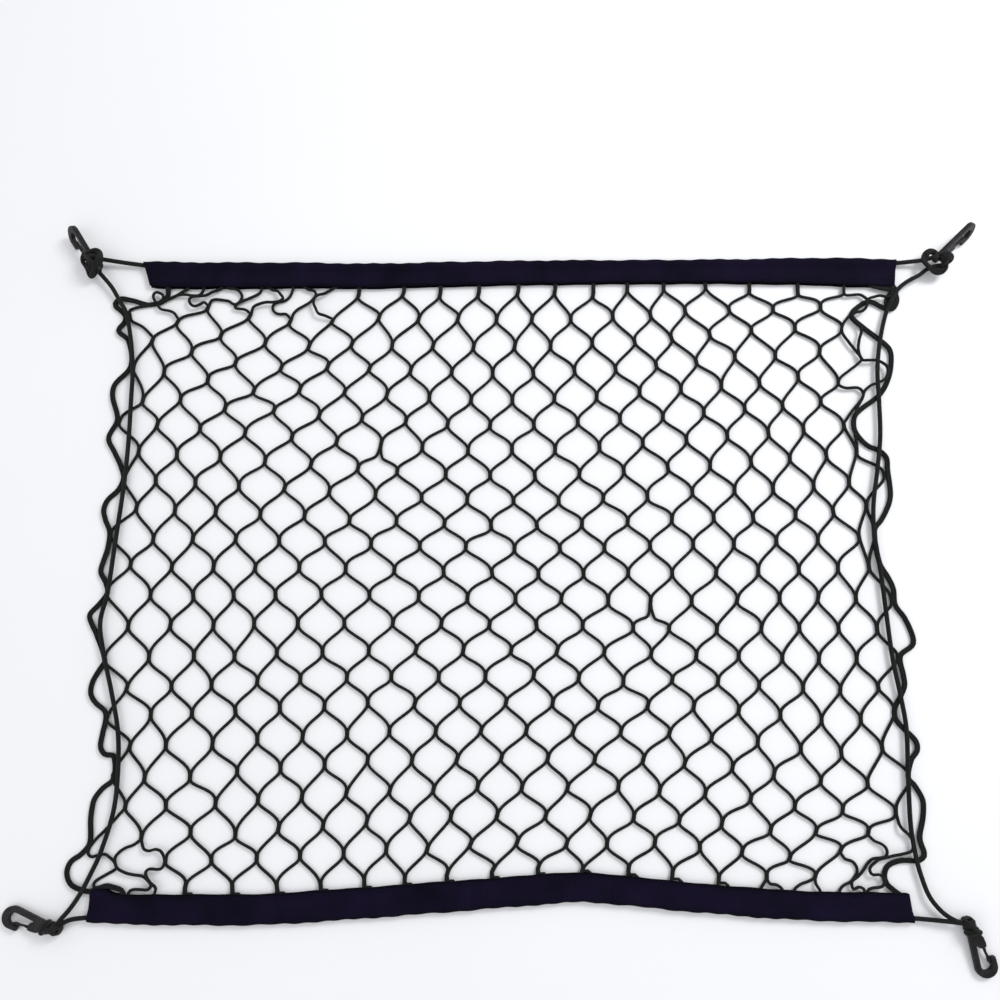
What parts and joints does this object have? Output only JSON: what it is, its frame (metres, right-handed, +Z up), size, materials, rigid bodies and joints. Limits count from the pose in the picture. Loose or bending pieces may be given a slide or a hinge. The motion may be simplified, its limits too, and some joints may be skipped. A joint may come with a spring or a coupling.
{
  "type": "cargo net",
  "caption": "Openwork diamond-mesh net between folded cloth bands, with an elastic border cord and a plastic snap hook at every corner, laid out flat.",
  "frame": {"origin": "on the floor under the middle of the whole net's box, hooks included", "axes": "+Z up, +X along the cloth bands to the right, +Y across the net to the top band"},
  "size_m": [0.9826, 0.7652, 0.0249],
  "materials": {
    "net_yarn": "black braided synthetic yarn, soft, matte",
    "band_cloth": "very dark navy woven cloth with fine ribs across the band, matte",
    "border_cord": "black elastic cord with a fine braided cover",
    "hook_plastic": "dark grey moulded plastic with a satin skin"
  },
  "bodies": {
    "root": {"net": "net_yarn", "top_band": "band_cloth", "bottom_band": "band_cloth", "cord_top": "border_cord", "cord_bottom": "border_cord", "cord_left": "border_cord", "cord_right": "border_cord", "hook_top_left": "hook_plastic", "knot_top_left": "border_cord", "hook_top_right": "hook_plastic", "knot_top_right": "border_cord", "hook_bottom_left": "hook_plastic", "knot_bottom_left": "border_cord", "hook_bottom_right": "hook_plastic", "knot_bottom_right": "border_cord"},
    "gate_top_left": {"gate_top_left": "hook_plastic"},
    "gate_top_right": {"gate_top_right": "hook_plastic"},
    "gate_bottom_left": {"gate_bottom_left": "hook_plastic"},
    "gate_bottom_right": {"gate_bottom_right": "hook_plastic"}
  },
  "joints": [
    {"name": "gate_top_left_spring", "type": "hinge", "parent": "root", "child": "gate_top_left", "pos_m": [-0.45491, 0.35454, 0.00809], "axis": [0.6746, 0.4669, -0.5718], "range_deg": [0, 28], "stiffness_Nm_per_rad": 0.1},
    {"name": "gate_top_right_spring", "type": "hinge", "parent": "root", "child": "gate_top_right", "pos_m": [0.47024, 0.36141, 0.00805], "axis": [0.6189, -0.6913, 0.373], "range_deg": [0, 28], "stiffness_Nm_per_rad": 0.1},
    {"name": "gate_bottom_left_spring", "type": "hinge", "parent": "root", "child": "gate_bottom_left", "pos_m": [-0.46562, -0.33488, 0.00509], "axis": [0.0861, -0.0366, -0.9956], "range_deg": [0, 28], "stiffness_Nm_per_rad": 0.1},
    {"name": "gate_bottom_right_spring", "type": "hinge", "parent": "root", "child": "gate_bottom_right", "pos_m": [0.44983, -0.35478, 0.00528], "axis": [-0.0204, 0.0961, -0.9952], "range_deg": [0, 28], "stiffness_Nm_per_rad": 0.1}
  ]
}
